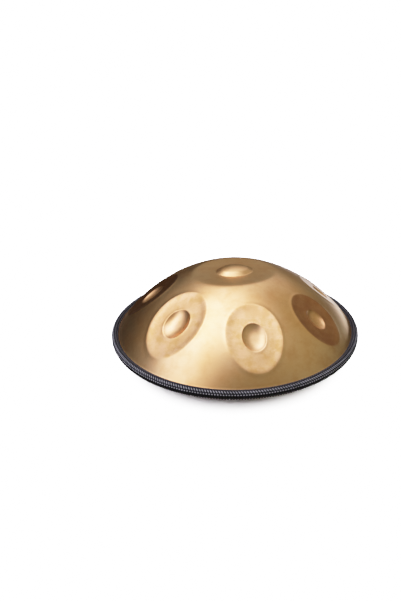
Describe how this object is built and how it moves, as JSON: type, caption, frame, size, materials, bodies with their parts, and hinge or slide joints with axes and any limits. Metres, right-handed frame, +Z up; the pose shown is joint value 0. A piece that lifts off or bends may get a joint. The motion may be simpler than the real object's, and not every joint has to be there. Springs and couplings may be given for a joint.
{
  "type": "handpan",
  "caption": "Handpan: two steel domes bonded at a braided rim, with a raised centre note, a ring of dimpled tone fields on top and a round sound port below.",
  "frame": {"origin": "centre of the flat ring round the sound port that the drum rests on, under the middle of the rim", "axes": "+Z up along the axis of the domes; -Y is the side that faces the viewer, with the lowest tone field at its left"},
  "size_m": [0.56, 0.5611, 0.2491],
  "materials": {
    "gold_steel": "satin gold-bronze heat-treated steel",
    "adhesive": "matte cured adhesive",
    "rim_rubber": "matte black",
    "rim_braid": "tight black braid"
  },
  "bodies": {
    "root": {"top_shell": "gold_steel", "bottom_shell": "gold_steel", "bond_ring": "adhesive", "rim_channel": "rim_rubber", "rim_braid": "rim_braid", "braid_splice": "rim_rubber"}
  },
  "joints": []
}
